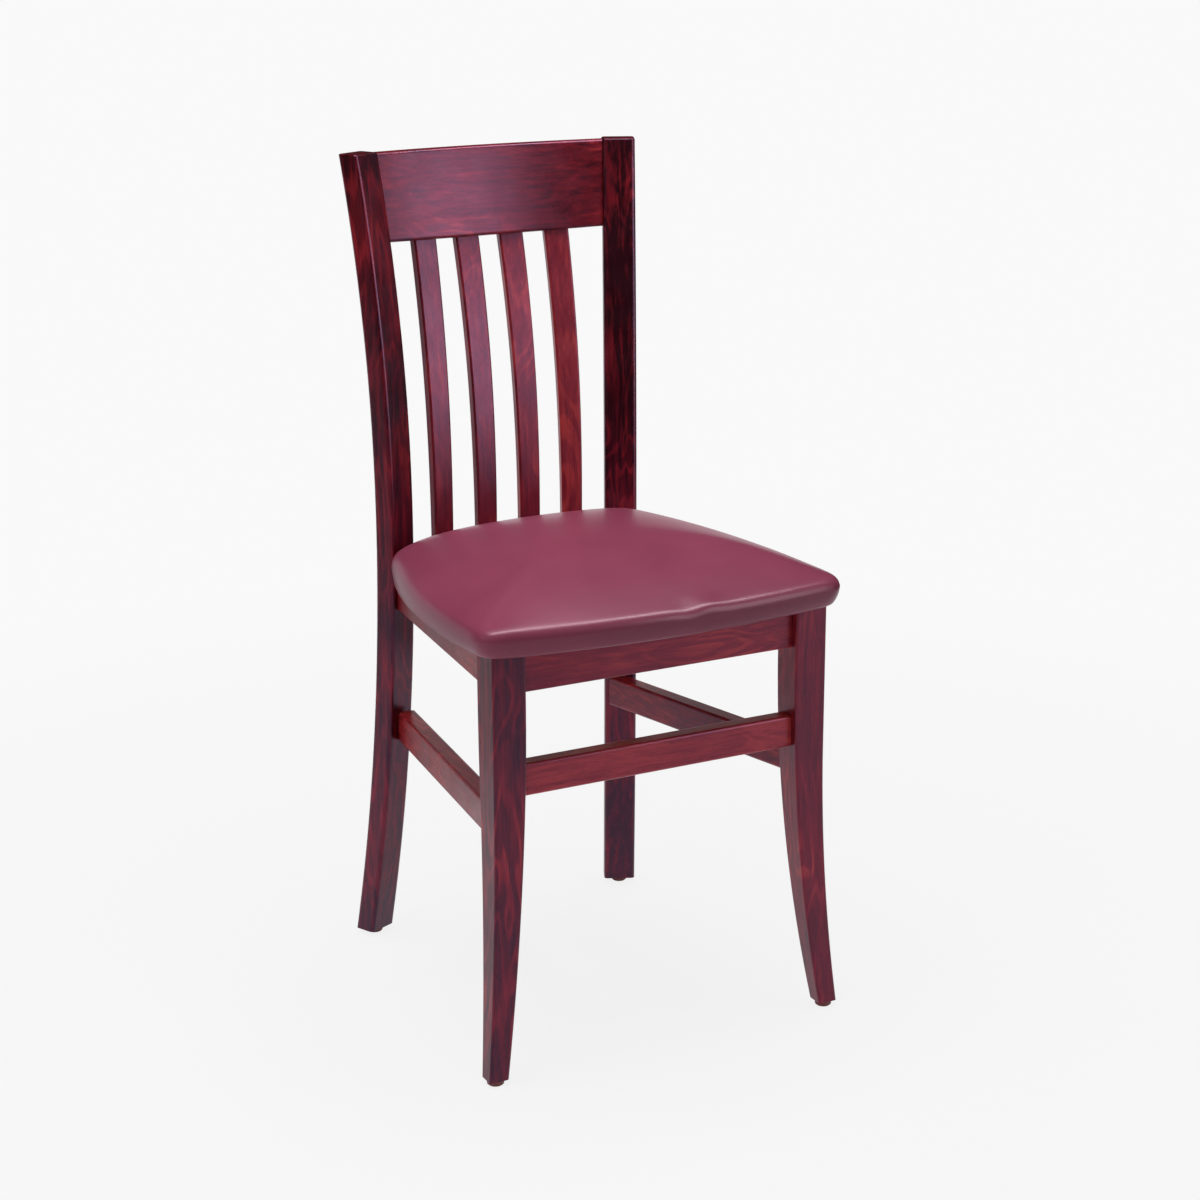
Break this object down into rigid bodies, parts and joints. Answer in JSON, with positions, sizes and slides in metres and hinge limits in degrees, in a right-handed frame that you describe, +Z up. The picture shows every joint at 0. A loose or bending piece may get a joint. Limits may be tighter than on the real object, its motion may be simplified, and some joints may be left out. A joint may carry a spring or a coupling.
{
  "type": "slat back side chair",
  "caption": "Wooden side chair with upright slats under a bowed crest rail, a padded vinyl seat, flared tapered front legs and side stretchers.",
  "frame": {"origin": "centre of the bounding box in X and Y, on the floor under the glides", "axes": "+Z up, the chair's front faces -Y, +X towards the right post as seen from the front"},
  "size_m": [0.4078, 0.4501, 0.864],
  "materials": {
    "stained_wood": "dark red mahogany stain under gloss lacquer",
    "plain_wood": "raw planed",
    "vinyl": "burgundy vinyl, soft sheen",
    "foam": "open cell foam",
    "steel": "zinc plated",
    "glide_plastic": "moulded, matt"
  },
  "bodies": {
    "root": {"back_post_left": "stained_wood", "back_post_right": "stained_wood", "front_leg_left": "stained_wood", "front_leg_right": "stained_wood", "crest_rail": "stained_wood", "slat_outer_left": "stained_wood", "slat_inner_left": "stained_wood", "slat_inner_right": "stained_wood", "slat_outer_right": "stained_wood", "front_seat_rail": "stained_wood", "left_seat_rail": "stained_wood", "right_seat_rail": "stained_wood", "rear_seat_rail": "stained_wood", "front_stretcher": "stained_wood", "left_stretcher": "stained_wood", "right_stretcher": "stained_wood", "crest_dowels": "plain_wood", "corner_block_front_left": "plain_wood", "corner_block_front_right": "plain_wood", "corner_block_rear_left": "plain_wood", "corner_block_rear_right": "plain_wood", "seat_board": "plain_wood", "seat_cover": "vinyl", "seat_foam": "foam", "corner_block_screws": "steel", "seat_screws": "steel", "cover_staples": "steel", "glide_nails": "steel", "glide_front_left": "glide_plastic", "glide_front_right": "glide_plastic", "glide_rear_left": "glide_plastic", "glide_rear_right": "glide_plastic"}
  },
  "joints": []
}
